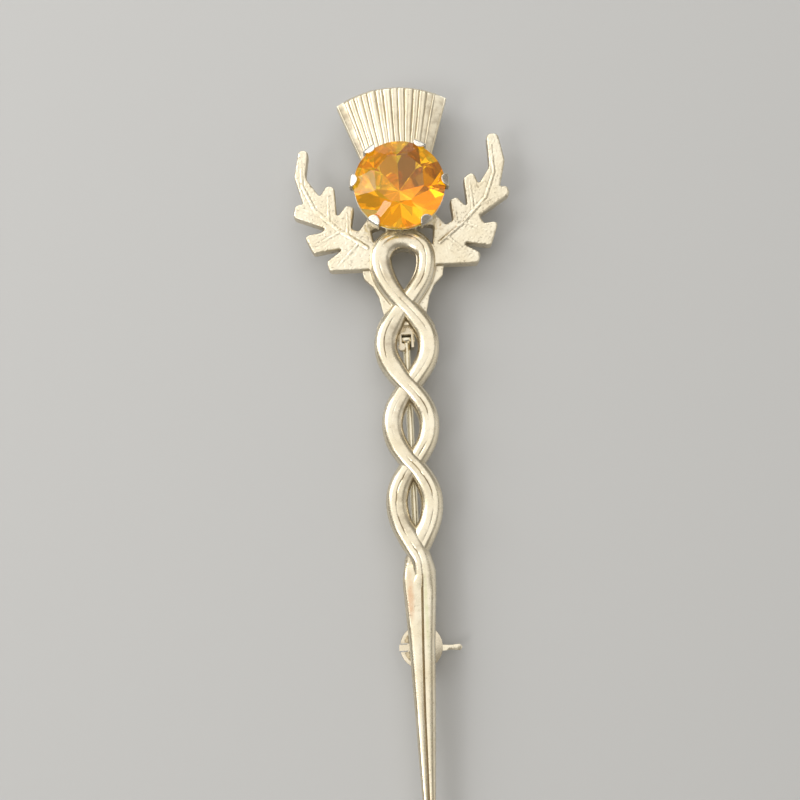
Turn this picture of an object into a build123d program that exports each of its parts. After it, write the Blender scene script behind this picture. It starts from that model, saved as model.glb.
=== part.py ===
from build123d import *
from math import copysign, cos, radians, sin, sqrt, tan
import os

# Thistle brooch, lying face up. All lengths are in millimetres, all angles in degrees.
# X runs across the brooch, +Y towards the thistle's tuft, +Z up out of its face.
# The origin is the middle of the whole length, on the surface that the brooch lies on.

# Whole brooch
overall_length = 88.5
tuft_rise = 12.8          # top of the tuft above the stone's centre
head_turn = 2.0           # the tuft and leaves sit a little askew on the stem
casting_overlap = 0.05    # how far one cast form sinks into the next
cut_through = 40.0        # longer than any wall that a cut goes through

# Brooch pin, hinge and catch on the back
pin_radius = 0.45
pin_running_gap = 0.10
sleeve_wall = 0.35
sleeve_running_gap = 0.05
barrel_wall = 0.30
hinge_past_tongue = 1.0   # hinge axis beyond the end of the pad's tongue
catch_past_blade = 8.2    # middle of the catch beyond the blade's start
catch_base_radius = 2.2
catch_base_thickness = 0.35
barrel_length = 3.0
barrel_sink = 0.15        # how far the barrel is soldered into its base
pin_past_catch = 1.5
pin_point_length = 8.0
pin_point_radius = 0.09
pin_root_radius = 0.49    # the shaft is a little stouter where it leaves the knuckle
pin_root_length = 2.2
knuckle_radius = 0.70
knuckle_width = 0.96
rivet_radius = 0.32
rivet_gap = 0.025
rivet_head_radius = 0.52
rivet_head_height = 0.14
rivet_head_round = 0.11
ear_thickness = 0.27
ear_gap = 0.055           # each side of the knuckle
ear_foot = 4.1            # the ears run on this far from the hinge axis towards the head
bracket_plate_thickness = 0.30
bracket_plate_setback = 0.25  # the plate ends this much short of the hinge axis
stop_curl_radius = 0.39
stop_curl_past = 1.15     # the curl stands this far past the hinge axis
lever_reach = 4.3         # tip of the lever from the pin's axis
lever_width = 0.58
lever_thickness = 0.50
lever_shift = 0.3         # the lever stands this much nearer the point than the catch's middle
lever_slot_gap = 0.12
sleeve_overhang = 0.10    # the sleeve shows this much past each end of the barrel
base_lip_radius = 0.28
base_lip_middles = (140, 220)
base_lip_arc = 50
base_notch_depth = 0.75
base_tab_width = 0.62
base_tab_reach = 2.32     # tip of the tab from the catch's middle

# Cast stem: a loop and two twisted strands, then a grooved blade
strand_width = 2.10
strand_side_height = 0.75
strand_height = 1.75
strand_line_depth = 0.13
strand_crest_share = 0.42  # place of each band's crest, from the incised line to the strand's side
crossing_angle = 43.0     # between a strand and the stem's length at a crossing
crossing_lift = 0.20
crossing_cap_length = 3.4
crossing_cap_inset = 0.06
loop_half_width = 3.65
loop_top_below = 4.1
loop_to_crossing = 5.2    # from the loop's centre to the first crossing
bay_lengths = (9.10, 8.40, 8.00)
bay_half_widths = (3.52, 3.06, 3.00)
blade_past_crossing = 2.75  # start of the blade beyond the last crossing
left_lobe_offset = 0.62
right_lobe_offset = 0.82
blade_half_width = 1.85
blade_height = 1.65

# Head plate: leaves, boss behind the stone, and the pad behind the loop
leaf_thickness = 1.25
leaf_reach = 12.25
leaf_edge_round = 0.22
vein_height = 0.15
vein_ball_share = 1.06    # the ball at a vein's end, against the vein's radius there
boss_radius = 4.5
neck_width = 3.4
pad_thickness = 0.80
pad_half_width = 4.45
pad_tongue_past = 2.3     # end of the tongue beyond the first crossing
pad_corner_round = 0.25
pad_eye_cover = 0.25      # the pad's opening hides this far under the loop

# Tuft
tuft_half_width = 6.27
tuft_corner_rise = 11.05
tuft_side_angle = 18.8
tuft_thickness = 0.95
tuft_arch = 0.75

# Stone and claw setting
stone_radius = 5.0
girdle_height = 3.4       # girdle above the casting's back
girdle_thickness = 0.30
crown_height = 1.60
pavilion_depth = 3.90
table_radius = 2.80       # to the table's corners
facet_count = 8           # in each ring of facets
break_facet_steepness = 1.03
half_facet_depth = 4.37   # where the deeper pavilion facets would meet
stone_gap = 0.10
setting_wall = 0.34
setting_slant_wall = 0.44  # the cone's wall, measured level
setting_slant_gap = 0.20  # between the cone and the stone, measured level
setting_foot_radius = 2.95  # inside of the foot
setting_gap = 0.05
setting_flare = 0.45
setting_flare_thickness = 0.28
claw_thickness = 0.38
claw_tip_thickness = 0.27
claw_width = 1.50
claw_grip = 0.42          # how far a claw reaches in over the stone's edge
claw_angles = (2, 62, 127, 174, 235, 302)

# Lobes of one leaf, outwards along its inner edge and back along its outer edge, as shares of leaf_reach.
# Columns: corners of the lobe (out, up), then the notch behind it (out, up).
right_leaf_lobes = (
    dict(corners=((0.465, -0.300), (0.450, -0.105), (0.520, -0.080)), notch=(0.606, -0.190)),
    dict(corners=((0.596, 0.095), (0.690, 0.165)), notch=(0.730, 0.030)),
    dict(corners=((0.846, 0.190), (0.846, 0.515), (0.955, 0.510), (0.995, 0.240)), notch=(0.925, -0.010)),
    dict(corners=((0.992, -0.005), (1.008, -0.090)), notch=(0.712, -0.275)),
    dict(corners=((0.745, -0.352), (0.885, -0.335), (0.790, -0.570)), notch=(0.508, -0.512)),
    dict(corners=((0.690, -0.630), (0.660, -0.725)), notch=(0.395, -0.715)),
)
left_leaf_lobes = (
    dict(corners=((0.463, -0.310), (0.420, -0.110), (0.490, -0.075)), notch=(0.585, -0.190)),
    dict(corners=((0.588, 0.095), (0.655, 0.130)), notch=(0.728, 0.025)),
    dict(corners=((0.846, 0.210), (0.800, 0.480), (0.893, 0.490), (0.950, 0.230)), notch=(0.885, -0.035)),
    dict(corners=((0.955, -0.045), (0.985, -0.160)), notch=(0.692, -0.290)),
    dict(corners=((0.750, -0.325), (0.895, -0.340), (0.820, -0.520)), notch=(0.535, -0.485)),
    dict(corners=((0.705, -0.600), (0.690, -0.695)), notch=(0.395, -0.705)),
)
# Both leaves begin at the boss and end under the loop, at the same places.
leaf_root_start = ((0.180, -0.180), (0.300, -0.215), (0.395, -0.335))
leaf_root_end = ((0.240, -0.705), (0.262, -0.500), (0.280, -0.337), (0.150, -0.300))
notch_round = 0.012
# Rounding of a lobe's corners in order, by how many corners it has; a horn bends softly at its root.
lobe_rounds = {2: (0.042, 0.042), 3: (0.034, 0.034, 0.034), 4: (0.12, 0.046, 0.046, 0.12)}

# Raised veins of one leaf, in shares of leaf_reach.
# Columns: start (out, up), end (out, up), radius at the start and at the end.
leaf_veins = (
    dict(start=(0.330, -0.500), end=(0.560, -0.330), wide=0.030, narrow=0.026),
    dict(start=(0.560, -0.330), end=(0.780, -0.110), wide=0.026, narrow=0.022),
    dict(start=(0.780, -0.110), end=(0.880, 0.130), wide=0.022, narrow=0.018),
    dict(start=(0.880, 0.130), end=(0.880, 0.380), wide=0.018, narrow=0.008),
    dict(start=(0.500, -0.375), end=(0.490, -0.170), wide=0.018, narrow=0.008),
    dict(start=(0.660, -0.235), end=(0.650, 0.040), wide=0.018, narrow=0.008),
    dict(start=(0.720, -0.175), end=(0.920, -0.085), wide=0.018, narrow=0.008),
    dict(start=(0.560, -0.330), end=(0.790, -0.440), wide=0.020, narrow=0.010),
    dict(start=(0.400, -0.450), end=(0.610, -0.660), wide=0.020, narrow=0.010),
)

# Half outline of the pad behind the loop, from the leaves down to its tongue.
# Columns: place down the pad (share of pad_tongue_below), half width (share of pad_half_width).
pad_rows = (
    dict(below=0.54, half=0.75),
    dict(below=0.56, half=1.02),
    dict(below=0.635, half=0.98),
    dict(below=0.70, half=0.76),
    dict(below=0.78, half=0.63),
    dict(below=0.91, half=0.53),
    dict(below=1.00, half=0.38),
)

# Pleats of the tuft from left to right. Columns: how many, width (share of the tuft), crest height.
tuft_pleats = (
    dict(count=1, width=0.068, crest=0.02),
    dict(count=18, width=0.0437, crest=0.17),
    dict(count=1, width=0.049, crest=0.12),
    dict(count=1, width=0.0964, crest=0.08),
)

# Sections of the blade from the last crossing to the point.
# Columns, in shares of the blade's sizes: place along it, left and right half widths, groove place, height.
blade_sections = (
    dict(along=0.00, left=0.88, right=1.00, groove=0.18, height=1.00),
    dict(along=0.06, left=0.88, right=0.98, groove=0.18, height=1.00),
    dict(along=0.22, left=0.70, right=0.77, groove=0.07, height=0.98),
    dict(along=0.40, left=0.57, right=0.62, groove=0.01, height=0.93),
    dict(along=0.68, left=0.37, right=0.34, groove=0.00, height=0.76),
    dict(along=0.97, left=0.17, right=0.17, groove=0.00, height=0.45),
    dict(along=1.00, left=0.08, right=0.08, groove=0.00, height=0.25),
)
blade_groove_depth = 0.24
blade_side_share = 0.42
blade_crest_shift = 0.10  # the crests stand this share of the width outside the middle

# Heights and places that follow from the sizes above
sleeve_inner_radius = pin_radius + pin_running_gap
sleeve_outer_radius = sleeve_inner_radius + sleeve_wall
barrel_inner_radius = sleeve_outer_radius + sleeve_running_gap
barrel_outer_radius = barrel_inner_radius + barrel_wall
pin_axis_height = barrel_outer_radius
back_height = pin_axis_height + barrel_outer_radius - barrel_sink + catch_base_thickness
stone_y = overall_length / 2 - tuft_rise
strand_reach = strand_width / 2
loop_radius = loop_half_width - strand_reach
loop_centre_below = loop_top_below + loop_half_width
first_crossing_below = loop_centre_below + loop_to_crossing
crossings_below = [first_crossing_below + sum(bay_lengths[:number]) for number in range(len(bay_lengths) + 1)]
blade_below = crossings_below[-1] + blade_past_crossing
pad_tongue_below = first_crossing_below + pad_tongue_past
hinge_below = pad_tongue_below + hinge_past_tongue
catch_below = blade_below + catch_past_blade
setting_foot_outer = setting_foot_radius + setting_wall
setting_bore_radius = setting_foot_outer + setting_gap
girdle_top = girdle_height + girdle_thickness / 2
girdle_low = girdle_height - girdle_thickness / 2
ear_inner = knuckle_width / 2 + ear_gap
ear_outer = ear_inner + ear_thickness
bore_radius = rivet_radius + rivet_gap
axis_drop = back_height - pin_axis_height
facet_step = 360 / facet_count


def turned_head(shape):
    """The tuft and leaves lean together about the stone's centre."""
    return Rot(0, 0, head_turn) * shape


# Stem
def biarc(start, start_way, end, end_way):
    """Two arcs that leave start along start_way and reach end along end_way."""
    chord = end - start
    both = start_way + end_way
    spread = 2 * (1 - start_way.dot(end_way))
    reach = (-chord.dot(both) + sqrt(chord.dot(both) ** 2 + spread * chord.dot(chord))) / spread
    first = start + start_way * reach
    second = end - end_way * reach
    middle = (first + second) * 0.5
    return [
        TangentArc(start, middle, tangent=start_way),
        TangentArc(middle, end, tangent=second - first),
    ]


def strand_path(side, lobe_offset):
    """One strand from the top of the loop to the blade; side is -1 for the one that starts to the left."""
    down = Vector(0, -1)
    loop_centre = Vector(0, -loop_centre_below)
    top = loop_centre + Vector(0, loop_radius)
    flank = loop_centre + Vector(side * loop_radius, 0)
    edges = [TangentArc(top, flank, tangent=Vector(side, 0))]
    place_now = flank
    way = side
    bay_offsets = [half_width - strand_reach for half_width in bay_half_widths]
    for number, crossing_below in enumerate(crossings_below):
        crossing = Vector(0, -crossing_below)
        leaning = Vector(-way * sin(radians(crossing_angle)), -cos(radians(crossing_angle)))
        edges += biarc(place_now, down, crossing, leaning)
        way = -way
        if number < len(bay_offsets):
            middle_below = (crossing_below + crossings_below[number + 1]) / 2
            place_now = Vector(way * bay_offsets[number], -middle_below)
        else:
            place_now = Vector(way * lobe_offset, -blade_below)
        edges += biarc(crossing, leaning, place_now, down)
    return Wire(edges)


def strand_section(plane, width, height):
    """The strand's cut: flat back, upright sides and two crowned bands with an incised line between them."""
    half = width / 2
    crest = strand_crest_share * half
    line_height = height - strand_line_depth
    outline = [
        Line((-half, 0), (half, 0)),
        Line((half, 0), (half, strand_side_height)),
        ThreePointArc((half, strand_side_height), (crest, height), (0, line_height)),
        ThreePointArc((0, line_height), (-crest, height), (-half, strand_side_height)),
        Line((-half, strand_side_height), (-half, 0)),
    ]
    return plane * make_face(outline)


def strand(side, lobe_offset):
    """A strand is its cut carried along its path, which sets out sideways from the top of the loop."""
    path = strand_path(side, lobe_offset)
    start = Plane(path @ 0, x_dir=(0, side, 0), z_dir=(side, 0, 0))
    return sweep(strand_section(start, strand_width, strand_height), path)


def crossing_cap(crossing_below):
    """At each crossing the strand that runs down to the right rises over the other."""
    along = Vector(sin(radians(crossing_angle)), -cos(radians(crossing_angle)), 0)
    across = Vector(0, 0, 1).cross(along)
    centre = Vector(0, -crossing_below, 0)
    width = strand_width - 2 * crossing_cap_inset
    low = strand_height - crossing_cap_inset
    cuts = []
    for share, height in ((-0.5, low), (0.0, strand_height + crossing_lift), (0.5, low)):
        origin = centre + along * (share * crossing_cap_length)
        cuts.append(strand_section(Plane(origin, x_dir=across, z_dir=along), width, height))
    return loft(cuts)


def blade_band(side_edge, groove, side, height, groove_height):
    """The crowned top of one half of the blade, from its side in to the groove."""
    crest = (side_edge + groove) / 2 + blade_crest_shift * (side_edge - groove)
    return ThreePointArc((side_edge, side), (crest, height), (groove, groove_height))


def blade():
    """Both strands side by side, tapering to the point, with the groove between them."""
    start = blade_below - casting_overlap
    length = overall_length - tuft_rise - start
    cuts = []
    for row in blade_sections:
        left = -row["left"] * blade_half_width
        right = row["right"] * blade_half_width
        groove = row["groove"] * blade_half_width
        height = row["height"] * blade_height
        side = height * blade_side_share
        groove_height = height - blade_groove_depth * row["height"]
        outline = [
            Line((left, 0), (right, 0)),
            Line((right, 0), (right, side)),
            blade_band(right, groove, side, height, groove_height),
            blade_band(left, groove, side, height, groove_height),
            Line((left, side), (left, 0)),
        ]
        origin = (0, -start - row["along"] * length, 0)
        cuts.append(Plane(origin, x_dir=(1, 0, 0), z_dir=(0, -1, 0)) * make_face(outline))
    return loft(cuts)


def stem():
    """The loop, the twist and the blade."""
    made = strand(-1, left_lobe_offset) + strand(1, right_lobe_offset)
    for below in crossings_below:
        made += crossing_cap(below)
    return made + blade()


# Head plate
def leaf_outline(lobes):
    """Outline of one leaf, right side of the brooch, with the rounding of each corner."""
    corners = [(point, notch_round) for point in leaf_root_start]
    for lobe in lobes:
        for point, rounding in zip(lobe["corners"], lobe_rounds[len(lobe["corners"])]):
            corners.append((point, rounding))
        corners.append((lobe["notch"], notch_round))
    corners += [(point, notch_round) for point in leaf_root_end]
    points = [(out * leaf_reach, up * leaf_reach) for (out, up), _ in corners]
    radii = [rounding * leaf_reach for _, rounding in corners]
    return FilletPolyline(*points, radius=radii, close=True)


def vein(row):
    """A raised vein: a tapering round bar sunk in the leaf's face, with a round end."""
    wide = row["wide"] * leaf_reach
    narrow = row["narrow"] * leaf_reach
    crest = leaf_thickness + vein_height
    start = Vector(row["start"][0] * leaf_reach, row["start"][1] * leaf_reach, crest - wide)
    end = Vector(row["end"][0] * leaf_reach, row["end"][1] * leaf_reach, crest - narrow)
    run = end - start
    bar = Solid.make_cone(wide, narrow, run.length, Plane(start, z_dir=run))
    return bar + Pos(end) * Sphere(narrow * vein_ball_share)


def leaf(lobes, side):
    """One cast leaf with its raised veins; side is -1 for the left one."""
    plate = extrude(make_face(leaf_outline(lobes)), leaf_thickness)
    rim = plate.faces().sort_by(Axis.Z)[-1].edges()
    made = fillet(rim, leaf_edge_round)
    for row in leaf_veins:
        made += vein(row)
    return made if side > 0 else mirror(made, Plane.YZ)


def boss():
    """The ring behind the stone that carries the claw setting, with the neck down to the loop."""
    standing = (Align.CENTER, Align.CENTER, Align.MIN)
    neck_length = loop_top_below + strand_reach
    ring = Cylinder(boss_radius, leaf_thickness, align=standing)
    neck = Pos(0, -neck_length / 2) * Box(neck_width, neck_length, leaf_thickness, align=standing)
    return ring + neck


def pad():
    """The low plate behind the loop that ties the leaves to the stem and carries the hinge."""
    half = [(row["half"] * pad_half_width, -row["below"] * pad_tongue_below) for row in pad_rows]
    points = half + [(-x, y) for x, y in reversed(half)]
    plate = extrude(make_face(FilletPolyline(*points, radius=pad_corner_round, close=True)), pad_thickness)
    eye_radius = loop_half_width - strand_width + pad_eye_cover
    left = (-eye_radius, -loop_centre_below)
    right = (eye_radius, -loop_centre_below)
    point = (0, -first_crossing_below + strand_reach)
    eye = make_face(Polyline(left, right, point, close=True))
    eye += Pos(0, -loop_centre_below) * Circle(eye_radius)
    return plate - extrude(eye, pad_thickness)


# Tuft
def tuft_cut(rise, half_width):
    """One cut across the tuft: a flat back and pleats crowned over a shallow arch."""
    pleats = [row for row in tuft_pleats for _ in range(row["count"])]
    whole = sum(row["width"] for row in pleats)
    scale = half_width / tuft_half_width

    def arch(x):
        return tuft_thickness + tuft_arch * (1 - (x / half_width) ** 2)

    outline = [
        Line((-half_width, arch(-half_width)), (-half_width, 0)),
        Line((-half_width, 0), (half_width, 0)),
        Line((half_width, 0), (half_width, arch(half_width))),
    ]
    left = -half_width
    for row in pleats:
        right = left + 2 * half_width * row["width"] / whole
        crest = (arch(left) + arch(right)) / 2 + row["crest"] * scale
        outline.append(ThreePointArc((left, arch(left)), ((left + right) / 2, crest), (right, arch(right))))
        left = right
    return Plane((0, rise, 0), x_dir=(1, 0, 0), z_dir=(0, -1, 0)) * make_face(outline)


def tuft():
    """The fan of pleats above the stone, cut to its curved top."""
    slope = tan(radians(tuft_side_angle))
    foot_half = tuft_half_width - tuft_corner_rise * slope
    head_half = foot_half + tuft_rise * slope
    fan = loft([tuft_cut(0, foot_half), tuft_cut(tuft_rise, head_half)], ruled=True)
    left = (-tuft_half_width, tuft_corner_rise)
    right = (tuft_half_width, tuft_corner_rise)
    below = Polyline(right, (tuft_half_width, 0), (-tuft_half_width, 0), left)
    under_arc = make_face([ThreePointArc(left, (0, tuft_rise), right), *below.edges()])
    kept = fan & extrude(under_arc, cut_through)
    return kept - Cylinder(boss_radius - casting_overlap, cut_through)


# Findings soldered to the back
def hinge_bracket():
    """A folded sheet bracket: a plate under the tongue, two ears and a curl that stops the pin."""
    hanging = (Align.CENTER, Align.CENTER, Align.MAX)
    axis = Pos(0, -hinge_below, -axis_drop)
    plate_length = ear_foot - bracket_plate_setback
    plate_middle = hinge_below - bracket_plate_setback - plate_length / 2
    plate = Box(2 * ear_outer, plate_length, bracket_plate_thickness, align=hanging)
    made = Pos(0, -plate_middle) * plate
    foot = Pos(0, ear_foot / 2) * Box(ear_thickness, ear_foot, back_height, align=hanging)
    cheek = Box(ear_thickness, 2 * pin_axis_height, axis_drop, align=hanging)
    for side in (-1, 1):
        middle = side * (ear_inner + ear_outer) / 2
        made += axis * Pos(middle) * Rot(0, 90, 0) * Cylinder(pin_axis_height, ear_thickness)
        made += Pos(middle, -hinge_below) * (foot + cheek)
    made -= axis * Rot(0, 90, 0) * Cylinder(bore_radius, cut_through)
    curl = Cylinder(stop_curl_radius, axis_drop - sleeve_inner_radius, align=hanging)
    return made + Pos(-ear_inner, -hinge_below - stop_curl_past) * curl


def catch_base():
    """A round plate with rolled lips and a tab, and the open barrel that holds the turning sleeve."""
    hanging = (Align.CENTER, Align.CENTER, Align.MAX)
    axis = Pos(0, 0, -axis_drop)
    made = Cylinder(catch_base_radius, catch_base_thickness, align=hanging)
    lip_path_radius = catch_base_radius - base_lip_radius + casting_overlap
    for middle in base_lip_middles:
        first = middle - base_lip_arc / 2
        path = CenterArc((0, 0, -catch_base_thickness / 2), lip_path_radius, first, base_lip_arc)
        made += sweep(Plane(path @ 0, z_dir=path % 0) * Circle(base_lip_radius), path)
    notch = Box(2 * base_notch_depth, base_tab_width + 2 * lever_slot_gap, cut_through)
    made -= Pos(-catch_base_radius) * notch
    tab_align = (Align.MIN, Align.CENTER, Align.MAX)
    made += Pos(-base_tab_reach) * Box(base_tab_reach, base_tab_width, catch_base_thickness, align=tab_align)
    made += axis * Rot(90, 0, 0) * Cylinder(barrel_outer_radius, barrel_length)
    made -= axis * Rot(90, 0, 0) * Cylinder(barrel_inner_radius, cut_through)
    made -= axis * Box(2 * sleeve_inner_radius, cut_through, back_height, align=hanging)
    slot_top = lever_thickness / 2 + lever_slot_gap
    slot_width = lever_width + 2 * lever_slot_gap
    slot = Box(2 * barrel_outer_radius, slot_width, back_height, align=tab_align)
    return made - axis * Pos(0, -lever_shift, slot_top) * slot


# Pieces that are made apart
def seat_height(radius):
    """Height of the setting's inner cone at a radius: parallel to the stone's deeper facets."""
    return girdle_low - half_facet_depth * (1 - (radius - setting_slant_gap) / stone_radius)


def claw_setting():
    """A coned cup with six claws, held in the boss by its spread foot, like an eyelet."""
    foot_top = leaf_thickness + setting_gap
    shoulder = setting_foot_outer + setting_wall
    flare = setting_foot_outer + setting_flare
    rim_outer = stone_radius + setting_gap
    rim_inner = rim_outer - setting_slant_wall
    rim_height = seat_height(rim_inner)
    cup = Polyline(
        (setting_foot_radius, -setting_gap - setting_flare_thickness),
        (flare, -setting_gap - setting_flare_thickness),
        (flare, -setting_gap),
        (setting_foot_outer, -setting_gap),
        (setting_foot_outer, foot_top),
        (shoulder, foot_top),
        (shoulder, seat_height(shoulder - setting_slant_wall)),
        (rim_outer, rim_height),
        (rim_inner, rim_height),
        (setting_foot_radius, seat_height(setting_foot_radius)),
        close=True,
    )
    claw_inner = stone_radius + stone_gap
    claw_outer = claw_inner + claw_thickness
    claw_tip = stone_radius - claw_grip
    claw_root = rim_outer - setting_wall
    crown_slope = break_facet_steepness * crown_height / (stone_radius - table_radius)
    tip_low = girdle_top + stone_gap + claw_grip * crown_slope
    hook = Polyline(
        (claw_root, rim_height),
        (claw_root, rim_height - setting_wall),
        (claw_outer, rim_height),
        (claw_outer, girdle_top + claw_thickness / 2),
        (claw_outer - claw_thickness / 2, girdle_top + claw_thickness),
        (claw_tip, tip_low + claw_tip_thickness),
        (claw_tip, tip_low),
        (claw_inner, girdle_top + stone_gap),
        (claw_inner, rim_height),
        close=True,
    )
    bend = claw_tip + claw_width / 2
    straight = 2 * (claw_outer - bend)
    tongue = Pos(bend) * Circle(claw_width / 2)
    tongue += Pos(bend + straight / 2) * Rectangle(straight, claw_width)
    tongues = Sketch()
    for angle in claw_angles:
        tongues += Rot(0, 0, angle - head_turn) * tongue
    claws = revolve(Plane.XZ * make_face(hook), Axis.Z) & extrude(tongues, cut_through)
    return revolve(Plane.XZ * make_face(cup), Axis.Z) + claws


def facet_ring(at_edge, at_axis, first_angle):
    """Planes that cut one ring of facets, from the girdle's edge to the height where they meet the axis."""
    rise = at_axis - at_edge
    planes = []
    for number in range(facet_count):
        angle = radians(first_angle + number * facet_step)
        outward = Vector(cos(angle), sin(angle), 0)
        away = Vector(0, 0, copysign(stone_radius, rise))
        edge_point = outward * stone_radius + Vector(0, 0, at_edge)
        planes.append(Plane(edge_point, z_dir=outward * abs(rise) + away))
    return planes


def amber_stone():
    """A round stone: octagonal table, sixteen crown facets, a round girdle and sixteen pavilion facets."""
    culet = girdle_low - pavilion_depth
    standing = (Align.CENTER, Align.CENTER, Align.MIN)
    made = Pos(0, 0, culet) * Cylinder(stone_radius, girdle_top + crown_height - culet, align=standing)
    half_step = facet_step / 2
    table_flat = table_radius * cos(radians(half_step))
    main_rise = crown_height * stone_radius / (stone_radius - table_flat)
    break_rise = break_facet_steepness * crown_height * stone_radius / (stone_radius - table_radius)
    planes = facet_ring(girdle_top, girdle_top + main_rise, 0)
    planes += facet_ring(girdle_top, girdle_top + break_rise, half_step)
    planes += facet_ring(girdle_low, culet, half_step)
    planes += facet_ring(girdle_low, girdle_low - half_facet_depth, 0)
    for plane in planes:
        made = split(made, bisect_by=plane, keep=Keep.BOTTOM)
    return made


def brooch_pin():
    """The pin: a bored knuckle and a round shaft drawn to a long point past the catch."""
    reach = catch_below + barrel_length / 2 + pin_past_catch - hinge_below
    point_start = reach - pin_point_length
    straight = point_start - pin_root_length
    root = Solid.make_cone(pin_root_radius, pin_radius, pin_root_length, Plane((0, 0, 0), z_dir=(0, -1, 0)))
    shaft = Pos(0, -pin_root_length - straight / 2) * Rot(90, 0, 0) * Cylinder(pin_radius, straight)
    point_plane = Plane((0, -point_start, 0), z_dir=(0, -1, 0))
    point = Solid.make_cone(pin_radius, pin_point_radius, pin_point_length, point_plane)
    knuckle = Rot(0, 90, 0) * Cylinder(knuckle_radius, knuckle_width)
    return root + shaft + point + knuckle - Rot(0, 90, 0) * Cylinder(bore_radius, cut_through)


def hinge_rivet():
    """The rivet through both ears and the knuckle, headed at each end."""
    half_grip = ear_outer + rivet_gap
    shank = Rot(0, 90, 0) * Cylinder(rivet_radius, 2 * half_grip)
    standing = (Align.CENTER, Align.CENTER, Align.MIN)
    head = Pos(half_grip) * Rot(0, 90, 0) * Cylinder(rivet_head_radius, rivet_head_height, align=standing)
    head = fillet(head.faces().sort_by(Axis.X)[-1].edges(), rivet_head_round)
    return shank + head + mirror(head, Plane.YZ)


def catch_sleeve():
    """The turning sleeve inside the barrel, open towards the pin's way in, and its lever."""
    length = barrel_length + 2 * sleeve_overhang
    tube = Rot(90, 0, 0) * Cylinder(sleeve_outer_radius, length)
    hollow = Rot(90, 0, 0) * Cylinder(sleeve_inner_radius, cut_through)
    hanging = (Align.CENTER, Align.CENTER, Align.MAX)
    mouth = Box(2 * sleeve_inner_radius, cut_through, back_height, align=hanging)
    start = (sleeve_inner_radius + sleeve_outer_radius) / 2
    end = lever_reach - lever_width / 2
    lever = Pos((start + end) / 2, -lever_shift) * Box(end - start, lever_width, lever_thickness)
    lever += Pos(end, -lever_shift) * Cylinder(lever_width / 2, lever_thickness)
    return tube - hollow - mouth + lever


def thistle_body():
    """All the cast and soldered metal: stem, head plate, tuft, hinge bracket and catch barrel."""
    made = stem() + pad() + boss()
    made += turned_head(leaf(right_leaf_lobes, 1))
    made += turned_head(leaf(left_leaf_lobes, -1))
    made += turned_head(tuft())
    made -= Cylinder(setting_bore_radius, cut_through)
    return made + hinge_bracket() + Pos(0, -catch_below) * catch_base()


def write(name, shape, below=0.0, height=0.0):
    """Moves a shape made round the stone's centre, on the casting's back, to its place, and writes it."""
    export_step(Pos(0, stone_y - below, back_height + height) * shape, f"parts/{name}.step")


os.makedirs("parts", exist_ok=True)
write("thistle_body", thistle_body())
write("claw_setting", turned_head(claw_setting()))
write("amber_stone", turned_head(amber_stone()))
write("brooch_pin", brooch_pin(), hinge_below, -axis_drop)
write("hinge_rivet", hinge_rivet(), hinge_below, -axis_drop)
write("catch_sleeve", catch_sleeve(), catch_below, -axis_drop)
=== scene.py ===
from math import atan2, cos, hypot, pi, radians, sin, sqrt

import bpy
from mathutils import Matrix, Vector, noise


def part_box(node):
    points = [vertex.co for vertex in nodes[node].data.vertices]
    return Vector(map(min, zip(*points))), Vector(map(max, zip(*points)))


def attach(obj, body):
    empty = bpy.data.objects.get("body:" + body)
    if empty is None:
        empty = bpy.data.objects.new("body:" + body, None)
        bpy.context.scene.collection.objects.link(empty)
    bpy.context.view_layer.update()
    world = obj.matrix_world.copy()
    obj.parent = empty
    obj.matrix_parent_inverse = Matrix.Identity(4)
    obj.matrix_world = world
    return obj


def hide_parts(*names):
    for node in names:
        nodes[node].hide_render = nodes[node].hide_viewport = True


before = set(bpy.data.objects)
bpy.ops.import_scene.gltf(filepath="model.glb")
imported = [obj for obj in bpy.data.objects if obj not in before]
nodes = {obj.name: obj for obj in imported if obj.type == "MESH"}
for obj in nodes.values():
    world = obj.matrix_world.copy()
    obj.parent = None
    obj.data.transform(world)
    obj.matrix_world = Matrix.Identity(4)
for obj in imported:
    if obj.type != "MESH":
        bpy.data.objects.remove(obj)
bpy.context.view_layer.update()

mm = 0.001
mergeReach = 0.0005  # corners nearer than this, in millimetres, are one

# Places that the solids give, in millimetres
stoneLow, stoneHigh = [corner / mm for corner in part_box("amber_stone")]
stoneAt = (stoneLow + stoneHigh) / 2
backHeight = 2.70  # flat back of the casting
castingAt = Vector((0, stoneAt.y, backHeight))  # on that back, behind the stone's middle
headTurn = radians(2.0)  # the tuft and the leaves sit a little askew on the stem
print("frame loaded, stone at", [round(v, 2) for v in stoneAt])


# Working tools
def only(obj):
    if bpy.context.object and bpy.context.object.mode != "OBJECT":
        bpy.ops.object.mode_set(mode="OBJECT")
    bpy.ops.object.select_all(action="DESELECT")
    obj.select_set(True)
    bpy.context.view_layer.objects.active = obj


# A copy of a solid's mesh, merged, in millimetres while it is worked on
def workingCopy(node, name):
    obj = bpy.data.objects.new(name, nodes[node].data.copy())
    bpy.context.scene.collection.objects.link(obj)
    obj.data.transform(Matrix.Scale(1 / mm, 4))
    obj.data.materials.clear()
    only(obj)
    bpy.ops.object.mode_set(mode="EDIT")
    bpy.ops.mesh.select_all(action="SELECT")
    bpy.ops.mesh.remove_doubles(threshold=mergeReach)
    bpy.ops.mesh.delete_loose()
    bpy.ops.object.mode_set(mode="OBJECT")
    if obj.data.attributes.get("custom_normal"):
        obj.data.attributes.remove(obj.data.attributes["custom_normal"])
    return obj


# Cuts a piece by a plane, closes the cut, and keeps the side that the normal points to
def keepBeyond(obj, point, normal):
    only(obj)
    bpy.ops.object.mode_set(mode="EDIT")
    bpy.ops.mesh.select_all(action="SELECT")
    bpy.ops.mesh.bisect(plane_co=point, plane_no=normal, use_fill=True, clear_inner=True, clear_outer=False)
    bpy.ops.object.mode_set(mode="OBJECT")


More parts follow.
